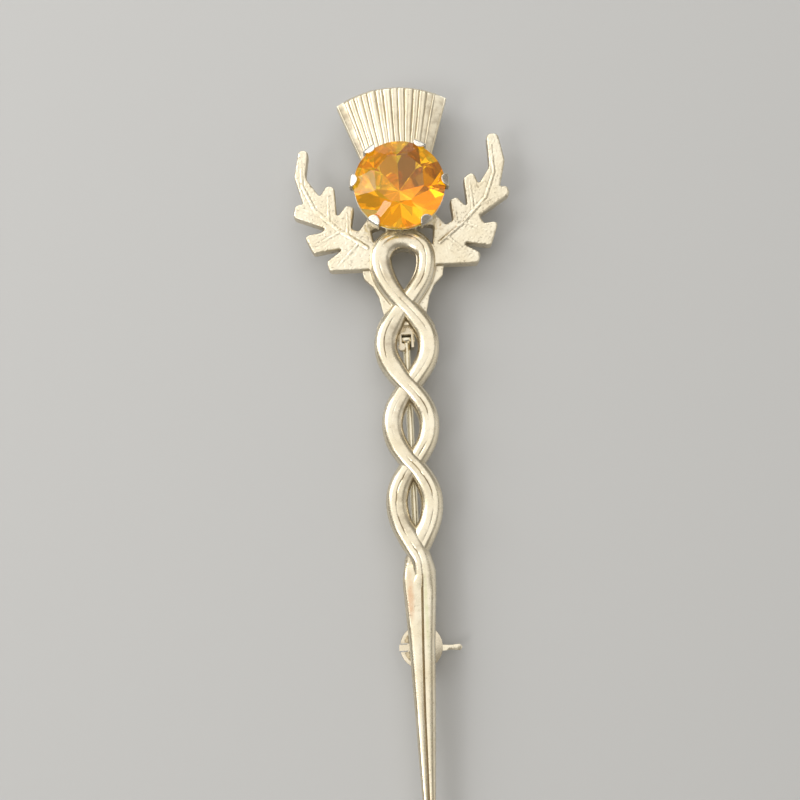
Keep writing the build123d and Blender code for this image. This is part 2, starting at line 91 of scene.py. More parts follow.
def finishModifier(obj, kind, **settings):
    only(obj)
    modifier = obj.modifiers.new(kind.lower(), kind)
    for key, value in settings.items():
        setattr(modifier, key, value)
    bpy.ops.object.modifier_apply(modifier=modifier.name)


# Melts a piece's edges, as casting and polishing do
def soften(obj, voxel, rounds):
    finishModifier(obj, "REMESH", mode="VOXEL", voxel_size=voxel, adaptivity=0.0)
    finishModifier(obj, "SMOOTH", factor=0.5, iterations=rounds)


# Breaks the edges that turn by more than an angle
def breakEdges(obj, width, turn=40):
    finishModifier(obj, "BEVEL", width=width, segments=2, limit_method="ANGLE", angle_limit=radians(turn),
                   harden_normals=False)


# A closed skin over rows of points; each row is one closed cut, from the first end to the last.
# Each point has a stain beside it, from 0 for clean metal to 1 for dirt.
def skinned(name, rows, stains, unevenEnds=False):
    count = len(rows[0])
    corners = [point for row in rows for point in row]
    faces = []
    for number in range(len(rows) - 1):
        low, high = number * count, (number + 1) * count
        for step in range(count):
            after = (step + 1) % count
            faces.append((low + step, low + after, high + after, high + step))
    last = (len(rows) - 1) * count
    if unevenEnds:
        # strips from the upper points to the lower ones, because the end isn't flat
        for start in (0, last):
            for step in range(count // 2 - 1):
                below = start + count - 1 - step
                faces.append((start + step, start + step + 1, below - 1, below))
    else:
        faces.append(tuple(reversed(range(count))))
        faces.append(tuple(range(last, last + count)))
    mesh = bpy.data.meshes.new(name)
    mesh.from_pydata(corners, [], faces)
    obj = bpy.data.objects.new(name, mesh)
    bpy.context.scene.collection.objects.link(obj)
    stainOn(obj, [value for row in stains for value in row])
    only(obj)
    bpy.ops.object.mode_set(mode="EDIT")
    bpy.ops.mesh.select_all(action="SELECT")
    bpy.ops.mesh.normals_make_consistent(inside=False)
    bpy.ops.object.mode_set(mode="OBJECT")
    return obj


def stainOn(obj, values):
    stain = obj.data.attributes.new("stain", "FLOAT", "POINT")
    stain.data.foreach_set("value", values)


# Back to metres, smooth shading, its material and the body that carries it
def handOver(obj, material, body, *stoodFor, angle=None, slot=None):
    obj.data.transform(Matrix.Scale(mm, 4))
    obj.data.materials.clear()
    obj.data.materials.append(material)
    only(obj)
    if angle is None:
        bpy.ops.object.shade_smooth()
    else:
        bpy.ops.object.shade_smooth_by_angle(angle=radians(angle))
    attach(obj, body)
    if stoodFor:
        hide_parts(*stoodFor)
    print(obj.name, sum(len(face.vertices) - 2 for face in obj.data.polygons), "triangles")


def smoothStep(value):
    value = max(0.0, min(1.0, value))
    return value * value * (3 - 2 * value)


def between(first, second, share):
    return first + (second - first) * share


# What a metal or a stone is painted with
class Finish:
    def __init__(self, name):
        self.material = bpy.data.materials.new(name)
        self.material.use_nodes = True
        self.tree = self.material.node_tree
        self.shader = self.tree.nodes["Principled BSDF"]

    def add(self, kind, **values):
        node = self.tree.nodes.new(kind)
        for key, value in values.items():
            setattr(node, key, value)
        return node

    def join(self, output, socket):
        self.tree.links.new(output, socket)

    def place(self):
        return self.add("ShaderNodeTexCoord").outputs["Object"]

    def grain(self, vector, scale, detail, roughness):
        node = self.add("ShaderNodeTexNoise")
        node.inputs["Scale"].default_value = scale
        node.inputs["Detail"].default_value = detail
        node.inputs["Roughness"].default_value = roughness
        self.join(vector, node.inputs["Vector"])
        return node.outputs["Fac"]

    def spread(self, value, low, high, lowest=0.0, highest=1.0):
        node = self.add("ShaderNodeMapRange")
        node.inputs["From Min"].default_value = low
        node.inputs["From Max"].default_value = high
        node.inputs["To Min"].default_value = lowest
        node.inputs["To Max"].default_value = highest
        self.join(value, node.inputs["Value"])
        return node.outputs["Result"]

    def mix(self, share, first, second):
        node = self.add("ShaderNodeMix", data_type="RGBA", blend_type="MIX")
        for socket, value in ((node.inputs[0], share), (node.inputs[6], first), (node.inputs[7], second)):
            if isinstance(value, (int, float)):
                socket.default_value = value
            elif isinstance(value, tuple):
                socket.default_value = (*value, 1.0)
            else:
                self.join(value, socket)
        return node.outputs[2]

    def reckon(self, operation, first, second=0.0):
        node = self.add("ShaderNodeMath", operation=operation)
        for socket, value in zip(node.inputs, (first, second)):
            if isinstance(value, (int, float)):
                socket.default_value = value
            else:
                self.join(value, socket)
        return node.outputs[0]

    def times(self, first, second):
        return self.reckon("MULTIPLY", first, second)

    def plus(self, first, second):
        return self.reckon("ADD", first, second)

    def raised(self, height, strength, distance):
        node = self.add("ShaderNodeBump")
        node.inputs["Strength"].default_value = strength
        node.inputs["Distance"].default_value = distance
        self.join(height, node.inputs["Height"])
        return node.outputs["Normal"]

    # 1 in the open, towards 0 in grooves and under edges
    def openness(self, reach):
        node = self.add("ShaderNodeAmbientOcclusion", samples=8, only_local=True)
        node.inputs["Distance"].default_value = reach
        return node.outputs["AO"]

    def edges(self, low, high):
        return self.spread(self.add("ShaderNodeNewGeometry").outputs["Pointiness"], low, high)

    # 1 on upright walls, 0 on level faces
    def walls(self, level, upright):
        split = self.add("ShaderNodeSeparateXYZ")
        self.join(self.add("ShaderNodeNewGeometry").outputs["Normal"], split.inputs[0])
        return self.spread(self.reckon("ABSOLUTE", split.outputs["Z"]), level, upright)

    def stain(self):
        return self.add("ShaderNodeAttribute", attribute_name="stain").outputs["Fac"]

    # A soft oval patch about a place in millimetres
    def patch(self, centre, reach, softness=0.6):
        mapping = self.add("ShaderNodeMapping", vector_type="TEXTURE")
        mapping.inputs["Location"].default_value = [value * mm for value in centre]
        mapping.inputs["Scale"].default_value = [value * mm for value in reach]
        self.join(self.place(), mapping.inputs["Vector"])
        length = self.add("ShaderNodeVectorMath", operation="LENGTH")
        self.join(mapping.outputs["Vector"], length.inputs[0])
        return self.spread(length.outputs["Value"], 1.0, 1.0 - softness)

    def set(self, name, value):
        socket = self.shader.inputs[name]
        if hasattr(value, "links"):
            self.join(value, socket)
        else:
            socket.default_value = value


# Cast silver, a little warm, with brown dirt in the hollows and painted shade on its upright walls
castSilverLook = dict(
    bright=(0.96, 0.89, 0.72), plain=(0.88, 0.79, 0.595), dull=(0.70, 0.58, 0.40), dullShare=0.35,
    # wall is a painted shade: the darker tone that upright walls get by how steep they are
    patina=(0.22, 0.155, 0.085), wall=(0.50, 0.42, 0.31), wallShadeShare=0.45, hollowReach=0.0005, dirt=0.42,
    wear=0.30, grain=0.000012, speckFrom=0.68, speckEdge=0.08, speckShare=0.40, roughLow=0.22, roughHigh=0.44,
    # scale, detail and roughness of its noises
    noises=dict(broad=(260, 3, 0.5), middle=(1400, 5, 0.6), fine=(5200, 4, 0.7), specks=(2900, 2, 0.5)),
    # from where to where a noise or a measure takes hold, and how much at both ends if not 0 and 1
    spans=dict(
        bright=(0.35, 0.65), dull=(0.50, 0.75), patch=(0.30, 0.60, 0.4, 1.0), wall=(0.80, 0.25),
        hollow=(0.95, 0.45), stain=(0.35, 0.62, 0.35, 1.0), edge=(0.52, 0.60), worn=(0.35, 1.2),
    ),
    hollowWander=0.30, dirtRough=0.6, fineShare=0.6, bump=0.55,
    patches=(),  # place, reach, colour and share of each, in millimetres
)


def castSilver(name, look):
    made = Finish(name)
    place = made.place()
    spans = look["spans"]
    broad, middle, fine, specks = [
        made.grain(place, *look["noises"][kind]) for kind in ("broad", "middle", "fine", "specks")
    ]
    specks = made.spread(specks, look["speckFrom"], look["speckFrom"] + look["speckEdge"])
    tone = made.mix(made.spread(broad, *spans["bright"]), look["plain"], look["bright"])
    tone = made.mix(made.times(made.spread(middle, *spans["dull"]), look["dullShare"]), tone, look["dull"])
    for centre, reach, colour, share in look["patches"]:
        spot = made.times(made.patch(centre, reach), made.spread(middle, *spans["patch"]))
        tone = made.mix(made.times(spot, share), tone, colour)
    # Painted shade: the steeper a face, the more it is darkened towards the wall tone
    if look["wallShadeShare"]:
        tone = made.mix(made.times(made.walls(*spans["wall"]), look["wallShadeShare"]), tone, look["wall"])
    hollow = made.plus(made.openness(look["hollowReach"]), made.times(middle, look["hollowWander"]))
    dirt = made.spread(hollow, *spans["hollow"])
    tone = made.mix(made.times(dirt, look["dirt"]), tone, look["patina"])
    stain = made.times(made.stain(), made.spread(middle, *spans["stain"]))
    tone = made.mix(stain, tone, look["patina"])
    tone = made.mix(made.times(specks, look["speckShare"]), tone, look["patina"])
    tone = made.mix(made.times(made.edges(*spans["edge"]), look["wear"]), tone, look["bright"])
    made.set("Base Color", tone)
    made.set("Metallic", 1.0)
    worn = made.plus(middle, made.times(made.plus(dirt, stain), look["dirtRough"]))
    made.set("Roughness", made.spread(worn, *spans["worn"], look["roughLow"], look["roughHigh"]))
    relief = made.plus(middle, made.times(fine, look["fineShare"]))
    made.set("Normal", made.raised(relief, look["bump"], look["grain"]))
    return made.material


# The stem has a brown patch and a greenish one where the blade starts
stemLook = dict(castSilverLook, patches=(
    ((-0.89, -12.9, 4.2), (0.45, 2.9, 1.5), (0.78, 0.47, 0.27), 0.70),
    ((0.66, -14.2, 4.2), (0.26, 5.5, 1.5), (0.62, 0.66, 0.36), 0.45),
))
leafLook = dict(castSilverLook, grain=0.00004, speckFrom=0.61, speckShare=0.42, roughLow=0.30, roughHigh=0.54)
tuftLook = dict(castSilverLook, hollowReach=0.0004, dirt=0.25, wallShadeShare=0.10, roughLow=0.28, roughHigh=0.48)
settingLook = dict(
    castSilverLook, bright=(0.84, 0.81, 0.74), plain=(0.72, 0.68, 0.60), dull=(0.56, 0.51, 0.42),
    wallShadeShare=0.25, dirt=0.7, wear=0.35, grain=0.000020, speckShare=0.3, roughLow=0.22, roughHigh=0.42,
)
pinLook = dict(
    castSilverLook, bright=(0.94, 0.89, 0.74), plain=(0.86, 0.79, 0.60), wallShadeShare=0.0, dirt=0.4,
    grain=0.000006, roughLow=0.18, roughHigh=0.34,
)
sleeveLook = dict(castSilverLook, wallShadeShare=0.0, dirt=0.5)
# Painted shade: the findings under the back get darker bright and plain tones than the rest of the casting
findingsShadedLook = dict(
    castSilverLook, bright=(0.84, 0.76, 0.60), plain=(0.72, 0.63, 0.47), wallShadeShare=0.25, dirt=0.8,
)

# The stone, and the mirror backing of the facets under its girdle in a few tones, facet by facet. The tones
# are painted reflections that give the stone its bright and dark facets, the palest ones painted glints, and
# the backing glows a little as painted light
stoneLook = dict(
    surface=(1.0, 0.95, 0.60), deeper=(1.0, 0.91, 0.50), clouds=(180, 2, 0.5), roughness=0.008, bending=1.56,
    sheen=0.25, depthColour=(1.0, 0.70, 0.06), density=50.0,
    foils=dict(gold=(1.0, 0.79, 0.10), amber=(1.0, 0.64, 0.04), orange=(0.93, 0.50, 0.05),
               brown=(0.50, 0.27, 0.07), paintedGlint=(1.0, 0.95, 0.45)),
    foilClouds=(500, 3, 0.5), foilSpan=(0.3, 0.7, 0.0, 0.35), foilShade=0.8, foilRoughness=0.025,
    foilMetal=0.88, foilGlow=0.25,
    facets=16,  # round the girdle, and as many small ones between them
    # tones of the facets that meet the girdle along an edge, against the clock from the stone's left side
    wide=("gold", "amber", "gold", "amber", "amber", "gold", "gold", "orange",
          "amber", "brown", "amber", "brown", "gold", "orange", "amber", "gold"),
    # tones of the small facets between them
    small=("amber", "paintedGlint", "orange", "gold", "orange", "gold", "orange", "brown",
           "orange", "gold", "amber", "gold", "amber", "amber", "orange", "gold"),
    depth=3.90,  # from the culet up to the girdle
    smallSlope=0.83,  # depth over radius of the small facets, between those of their neighbours
    edge=0.022, crispTurn=8, smoothTurn=5,
    foilBelow=-0.2,  # a facet that faces down by more than this is backed
)


def stoneGlass(look):
    made = Finish("amberStone")
    clouds = made.grain(made.place(), *look["clouds"])
    made.set("Base Color", made.mix(clouds, look["surface"], look["deeper"]))
    made.set("Roughness", look["roughness"])
    made.set("IOR", look["bending"])
    made.set("Specular IOR Level", look["sheen"])
    made.set("Transmission Weight", 1.0)
    volume = made.add("ShaderNodeVolumeAbsorption")
    volume.inputs["Color"].default_value = (*look["depthColour"], 1.0)
    volume.inputs["Density"].default_value = look["density"]
    made.join(volume.outputs["Volume"], made.tree.nodes["Material Output"].inputs["Volume"])
    return made.material


def stoneFoil(name, colour, look):
    made = Finish(name)
    worn = made.spread(made.grain(made.place(), *look["foilClouds"]), *look["foilSpan"])
    tone = made.mix(worn, colour, tuple(value * look["foilShade"] for value in colour))
    made.set("Base Color", tone)
    # Painted light: the backing glows in its own tone
    made.set("Emission Color", tone)
    made.set("Emission Strength", look["foilGlow"])
    made.set("Metallic", look["foilMetal"])
    made.set("Roughness", look["foilRoughness"])
    return made.material


stemMetal = castSilver("stemSilver", stemLook)
leafMetal = castSilver("leafSilver", leafLook)
tuftMetal = castSilver("tuftSilver", tuftLook)
findingsShadedMetal = castSilver("findingsShadedSilver", findingsShadedLook)
settingMetal = castSilver("settingSilver", settingLook)
pinMetal = castSilver("pinSteel", pinLook)
sleeveMetal = castSilver("sleeveSilver", sleeveLook)
amberGlass = stoneGlass(stoneLook)
amberFoils = {}
for tone, colour in stoneLook["foils"].items():
    amberFoils[tone] = stoneFoil(tone + "Foil", colour, stoneLook)
print("materials made")

# The two strands, from the top of the loop to the blade. Places are from the stone's centre.
strands = dict(
    halfWidth=1.06, step=0.10, loopCentre=-7.75, loopRadius=2.60, crossings=(-12.95, -22.05, -30.45, -39.70),
    crossingAngles=(43.0, 43.0, 43.0, 32.0), bays=((2.47, -17.50), (2.01, -26.25), (1.95, -34.60)),
    lobeTop=(-0.70, -40.90), bladeTop=(0.44, -41.90),
    # how it rises over a crossing and sinks under one, and the dent before the lobe
    lift=0.07, liftLength=2.3, sink=0.16, sinkLength=2.4, dent=0.34, dentNarrowing=1.5,
    # how much wider the left and right strands are on their inner side, at the loop and at each bay
    inner=((0.34, -0.05), (0.36, 0.20), (0.12, 0.02), (0.20, 0.22), (0.0, 0.0)), innerFrom=0.3, innerOver=1.6,
    loopTop=0.36, loopTopPower=1.5, loopFade=3.5,
    # the casting that fills the lower end of the last eye
    web=0.30, webAbove=1.2, webReach=2.4,
    # stains in the line, on the inner bands of the left and right strands, and in the dent
    dirtyLine=0.60, dirtyInner=(0.24, 0.12), dirtyDent=0.45, dirtyWander=1.6, dirtyLeast=0.3,
    # the line comes and goes, and is fainter on the left
    wanderSize=0.45, lineMean=0.75, lineWander=1.9, lineMost=1.3, leftFrom=0.6, leftLine=0.55,
)
# The strand's cut: the height of its bands and walls, and the fine line between the bands
strandCut = dict(
    height=1.80, wall=1.00, lineWidth=0.06, lineDepth=0.060, fall=0.035, crestShare=0.42, fullness=2.4,
    back=0.01,
)
# The line's shoulders and the stain on the bands beside it, as shares of its width, depth and stain
lineShape = dict(shoulder=0.35, shoulderRise=0.2, rimStain=0.35, widestLip=0.4)
lowerBack = 0.02  # the strand with the lobe is this little deeper, so the flat backs don't share a plane
# The blade's cut at its thickest, where its line is a groove
bladeCut = dict(
    strandCut, height=1.68, wall=1.06, lineWidth=0.13, lineDepth=0.24, fall=0.045, crestShare=0.36,
    fullness=4.2,
)


# Points along an arc that leaves one place along a way and ends at another, each with its way
def arcPoints(start, way, end, step):
    chord = end - start
    half = atan2(way.cross(chord), way.dot(chord))
    if abs(half) < 1e-6:
        count = max(2, int(chord.length / step))
        return [(start + chord * (number / count), way.copy()) for number in range(count)]
    radius = chord.length / (2 * sin(half))
    centre = start + Vector((-way.y, way.x)) * radius
    count = max(2, int(abs(2 * half * radius) / step))
    points = []
    for number in range(count):
        turn = Matrix.Rotation(2 * half * number / count, 2)
        points.append((centre + turn @ (start - centre), turn @ way))
    return points


# Two arcs that join one place and way to another place and way
def bend(start, startWay, end, endWay, step):
    chord = end - start
    both = startWay + endWay
    spread = 2 * (1 - startWay.dot(endWay))
    reach = (-chord.dot(both) + sqrt(chord.dot(both) ** 2 + spread * chord.dot(chord))) / spread
    first = start + startWay * reach
    second = end - endWay * reach
    middle = (first + second) / 2
    onward = (second - first).normalized()
    return arcPoints(start, startWay, middle, step) + arcPoints(middle, onward, end, step)


def strandRoute(side, look):
    down = Vector((0, -1))
    centre = Vector((0, look["loopCentre"]))
    placeNow = centre + Vector((side * look["loopRadius"], 0))
    route = arcPoints(centre + Vector((0, look["loopRadius"])), Vector((side, 0)), placeNow, look["step"])
    way = side
    marks = []
    for number, at in enumerate(look["crossings"]):
        crossing = Vector((0, at))
        angle = radians(look["crossingAngles"][number])
        leaning = Vector((-way * sin(angle), -cos(angle)))
        route += bend(placeNow, down, crossing, leaning, look["step"])
        marks.append((len(route), way < 0))  # the strand that comes from the left goes over
        way = -way
        if number < len(look["bays"]):
            placeNow = Vector((way * look["bays"][number][0], look["bays"][number][1]))
        else:
            placeNow = Vector(look["lobeTop"] if way < 0 else look["bladeTop"])
        route += bend(crossing, leaning, placeNow, down, look["step"])
    route.append((placeNow, down))
    return route, marks


# Half of a cut's top, from its edge over the band's crest to the line between the bands
def bandRise(edge, line, cut, steps=12):
    band = abs(edge - line)
    lipShare = min(cut["lineWidth"] / band, lineShape["widestLip"])
    rise = []
    for number in range(steps + 1):
        share = lipShare + (1 - lipShare) * cos(pi / 2 * number / steps)
        crown = max(0.0, 1 - share ** cut["fullness"]) ** 0.5
        near = 1 - smoothStep((share - lipShare) / (cut["crestShare"] - lipShare))
        height = cut["wall"] + (cut["height"] - cut["wall"]) * crown - cut["fall"] * near
        rise.append((between(line, edge, share), height))
    return rise


# One cut of the stem: flat back, upright walls, two low bands and the line between them, with its stains
def stemRow(place, way, left, right, line, cut, dirtyLine, dirtyBands=(0.0, 0.0)):
    rightBand = bandRise(right, line, dict(cut, wall=cut.get("rightWall", cut["wall"])))
    leftBand = bandRise(left, line, cut)
    deep = cut["height"] - cut["fall"] - cut["lineDepth"]
    shoulder = cut["lineWidth"] * lineShape["shoulder"]
    shoulderHeight = deep + cut["lineDepth"] * lineShape["shoulderRise"]
    points = [
        (left, -cut["back"]), (right, -cut["back"]), *rightBand, (line + shoulder, shoulderHeight),
        (line, deep), (line - shoulder, shoulderHeight), *reversed(leftBand),
    ]
    rim = dirtyLine * lineShape["rimStain"]
    leftStains, rightStains = [[dirty] * (len(rightBand) - 1) + [max(dirty, rim)] for dirty in dirtyBands]
    stains = [0.0, 0.0, *rightStains, dirtyLine, dirtyLine, dirtyLine, *reversed(leftStains)]
    across = Vector((-way.y, way.x))
    row = [(place.x + across.x * u, stoneAt.y + place.y + across.y * u, backHeight + v) for u, v in points]
    return row, stains


# How much wider a strand is here on its inner side
def innerExtra(place, onLoop, inner, look):
    if onLoop:
        # widest at the top of the loop, and fading towards the first crossing
        high = max(0.0, (place.y - look["loopCentre"]) / look["loopRadius"]) ** look["loopTopPower"]
        aside = smoothStep(0.5 + place.x / (2 * look["loopRadius"]))
        wider = between(between(inner[0], inner[1], aside), look["loopTop"], high)
        return wider * smoothStep((place.y - look["crossings"][0]) / look["loopFade"])
    return inner[place.x >= 0] * smoothStep((abs(place.x) - look["innerFrom"]) / look["innerOver"])


# The strand's way down through all its crossings, over one and under the next
def strandRows(side, look):
    route, marks = strandRoute(side, look)
    lengths = [0.0]
    for (first, _), (second, _) in zip(route, route[1:]):
        lengths.append(lengths[-1] + (second - first).length)
    lastMark, endsOver = marks[-1]
    rows = []
    for number, (place, way) in enumerate(route):
        onLoop = number < marks[0][0]
        height, line = strandCut["height"], 1.0
        for mark, isOver in marks:
            away = abs(lengths[number] - lengths[mark])
            if isOver and away < look["liftLength"]:
                height += look["lift"] * cos(pi / 2 * away / look["liftLength"]) ** 2
            if not isOver and away < look["sinkLength"]:
                under = cos(pi / 2 * away / look["sinkLength"]) ** 2
                height -= look["sink"] * under
                line = 1 - under
        left, right, dirtyBands = -look["halfWidth"], look["halfWidth"], [0.0, 0.0]
        wider = innerExtra(place, onLoop, look["inner"][sum(number > mark for mark, _ in marks)], look)
        inside = 1 if place.x < 0 else -1
        if onLoop and side * place.x >= 0:
            inside = -side
        if inside > 0:
            right += wider
        else:
            left -= wider
        wander = noise.noise(Vector((place.x, place.y, 3.0 * side)) * look["wanderSize"])
        patchy = max(look["dirtyLeast"], 1 + look["dirtyWander"] * wander)
        dirtyBands[inside > 0] = look["dirtyInner"][place.x > 0] * patchy
        past = max(0.0, (lengths[number] - lengths[lastMark]) / (lengths[-1] - lengths[lastMark]))
        fromWeb = abs(lengths[number] - lengths[lastMark] + look["webAbove"])
        web = look["web"] * smoothStep(1 - fromWeb / look["webReach"])
        if endsOver:
            right += web + (blade["halfWidth"] - look["bladeTop"][0] - look["halfWidth"]) * smoothStep(past)
        else:
            left -= web
        if past > 0 and not endsOver:
            # under the last crossing it dips and narrows before it comes up as the blade's left lobe
            height = strandCut["height"] - look["sink"] - look["dent"] * smoothStep(past)
            narrowing = smoothStep(past * look["dentNarrowing"])
            left += (lobe["rows"][0][1] - look["lobeTop"][0] - left) * narrowing
            right += (lobe["rows"][0][2] - look["lobeTop"][0] - right) * smoothStep(past)
            line, dirtyBands = 0.0, [look["dirtyDent"] * sin(pi * past)] * 2
        faint = max(0.0, min(look["lineMost"], look["lineMean"] + look["lineWander"] * wander))
        if side < 0 and place.x < -look["leftFrom"]:
            faint *= look["leftLine"]
        cut = dict(
            strandCut, height=height, wall=strandCut["wall"] * height / strandCut["height"],
            lineDepth=strandCut["lineDepth"] * line * faint,
            back=strandCut["back"] if endsOver else lowerBack,
        )
        dirtyLine = look["dirtyLine"] * line * faint
        rows.append(stemRow(place, way, left, right, 0.0, cut, dirtyLine, dirtyBands))
    return rows


# The blade, tapering to the point, as the strand on top runs on with its line as the groove
blade = dict(
    start=-40.55, end=-75.70, halfWidth=1.85, morph=1.8, dirtyGroove=0.14,
    steps=250, crowding=1.15, softness=0.012, pointFrom=0.97,
    # place along, left and right half widths, groove place, height
    rows=((0.00, 0.88, 0.99, 0.22, 0.99), (0.08, 0.88, 0.985, 0.18, 1.00), (0.235, 0.70, 0.77, 0.08, 0.98),
          (0.41, 0.57, 0.62, 0.00, 0.93), (0.685, 0.37, 0.34, -0.02, 0.76), (0.97, 0.17, 0.17, 0.00, 0.45),
          (1.00, 0.08, 0.08, 0.00, 0.25)),
)
# The blade's left lobe, where the lower strand comes up and sinks into the blade
lobe = dict(
    steps=60, softness=0.08, wall=0.58, rightWall=0.88,
    # distance below the lobe's top, left and right edges, height
    rows=((0.00, -1.38, -0.30, 1.24), (0.35, -1.44, -0.20, 1.42), (0.80, -1.53, -0.12, 1.56),
          (1.50, -1.645, -0.02, 1.65), (2.60, -1.640, 0.00, 1.69), (4.00, -1.50, -0.05, 1.675),
          (5.50, -1.36, -0.20, 1.62), (7.00, -1.22, -0.40, 1.50)),
)


def rowAt(rows, along):
    for first, second in zip(rows, rows[1:]):
        if along <= second[0]:
            share = (along - first[0]) / (second[0] - first[0])
            return [between(a, b, share) for a, b in zip(first, second)]
    return list(rows[-1])


# The table's row at a place, softened over a short reach
def softRowAt(rows, along, reach):
    spans = [rowAt(rows, max(rows[0][0], along + shift * reach)) for shift in (-2, -1, 0, 1, 2)]
    return [sum(values) / len(spans) for values in zip(*spans)]


def bladeRows(look):
    down = Vector((0, -1))
    half = look["halfWidth"]
    topX, topY = strands["bladeTop"]
    first = (topY - look["start"]) / (look["end"] - look["start"])
    rows = []
    for number in range(1, look["steps"] + 1):
        along = between(first, 1.0, (number / look["steps"]) ** look["crowding"])
        y = between(look["start"], look["end"], along)
        blend = smoothStep((topY - y) / look["morph"])
        softness = 0.0 if along > look["pointFrom"] else look["softness"]
        _, left, right, groove, tall = softRowAt(look["rows"], along, softness)
        cut = {}
        for key, value in bladeCut.items():
            value *= 1 if key in ("crestShare", "fullness", "back") else tall
            cut[key] = between(strandCut[key], value, blend)
        rows.append(stemRow(
            Vector((0, y)), down, between(topX - strands["halfWidth"], -left * half, blend),
            between(half, right * half, blend), between(topX, groove * half, blend), cut,
            between(strands["dirtyLine"], look["dirtyGroove"], blend)))
    return rows


def lobeRows(look):
    rows = []
    for number in range(1, look["steps"] + 1):
        below = look["rows"][-1][0] * number / look["steps"]
        _, left, right, height = softRowAt(look["rows"], below, look["softness"])
        cut = dict(bladeCut, height=height, wall=height * look["wall"], rightWall=height * look["rightWall"],
                   lineDepth=0.0, fall=0.0, back=lowerBack)
        place = Vector((0, strands["lobeTop"][1] - below))
        rows.append(stemRow(place, Vector((0, -1)), left, right, (left + right) / 2, cut, 0.0))
    return rows


for name, rows in (("strandWithBlade", strandRows(1, strands) + bladeRows(blade)),
                   ("strandWithLobe", strandRows(-1, strands) + lobeRows(lobe))):
    made = skinned(name, [row for row, _ in rows], [stains for _, stains in rows])
    handOver(made, stemMetal, "brooch", "thistle_body", angle=50, slot="cast_silver")
print("stem made")

# The tuft: a fan of pleats over a shallow arch, with a flat band at each side
tuft = dict(
    footHalf=2.509, headHalf=6.865, rise=12.80, cornerRise=11.05, cornerHalf=6.27, thickness=0.95, arch=0.62,
    foot=3.4, sunk=0.02, below=0.01, pointsAcross=230,
    # rows up the fan, closer towards the top, where it falls to a soft edge, and how the top is found
    rowsUp=60, crowding=1.25, edgeFrom=0.94, edgeFall=0.75, searchReach=1.02, searchSteps=30,
    # how far the pleats sway and waver, up to the plain side bands, and how uneven they are, each with
    # its steps in the noise across and up the fan
    sway=0.07, swaySteps=(1.7, 0.30), waver=0.03, waverSteps=(40, 0.9), bandFrom=0.85,
    uneven=0.6, unevenSteps=(2.3, 0.30),
    finerShare=0.38,  # how much the two halves of a split pleat show in its crown
    # dirt in the valleys, which comes and goes and fades at the edge
    dirtyValley=0.30, finerValley=0.6, dirtMean=0.9, dirtWander=0.8, dirtLeast=0.3, dirtSteps=(3.1, 0.6),
    dirtFade=12,
    # width, height of its crest, place of the finer valley in it and stain of each pleat, from the left; the
    # heavy stains on the flat left band and on the low broad pleats at the right are painted shade, darkening
    # them as a dim reflection does
    pleats=((0.014, 0.08, 0.0, 0.00), (0.058, -0.05, 0.0, 0.62), (0.036, 0.17, 0.0, 0.00),
            (0.052, 0.16, 0.60, 0.12), (0.066, 0.18, 0.40, 0.04), (0.048, 0.17, 0.52, 0.12),
            (0.072, 0.19, 0.36, 0.02), (0.058, 0.18, 0.62, 0.14), (0.068, 0.19, 0.48, 0.02),
            (0.056, 0.17, 0.42, 0.12), (0.060, 0.19, 0.56, 0.02), (0.072, 0.18, 0.45, 0.10),
            (0.050, 0.17, 0.60, 0.02), (0.068, 0.18, 0.40, 0.10), (0.050, 0.04, 0.0, 0.40),
            (0.020, 0.14, 0.0, 0.00), (0.085, 0.02, 0.0, 0.48), (0.012, 0.08, 0.0, 0.00)),
)


def tuftHalf(y, look):
    return look["footHalf"] + (look["headHalf"] - look["footHalf"]) * y / look["rise"]


def pleatCrown(share):
    return sqrt(max(0.0, 1 - (2 * share - 1) ** 2))


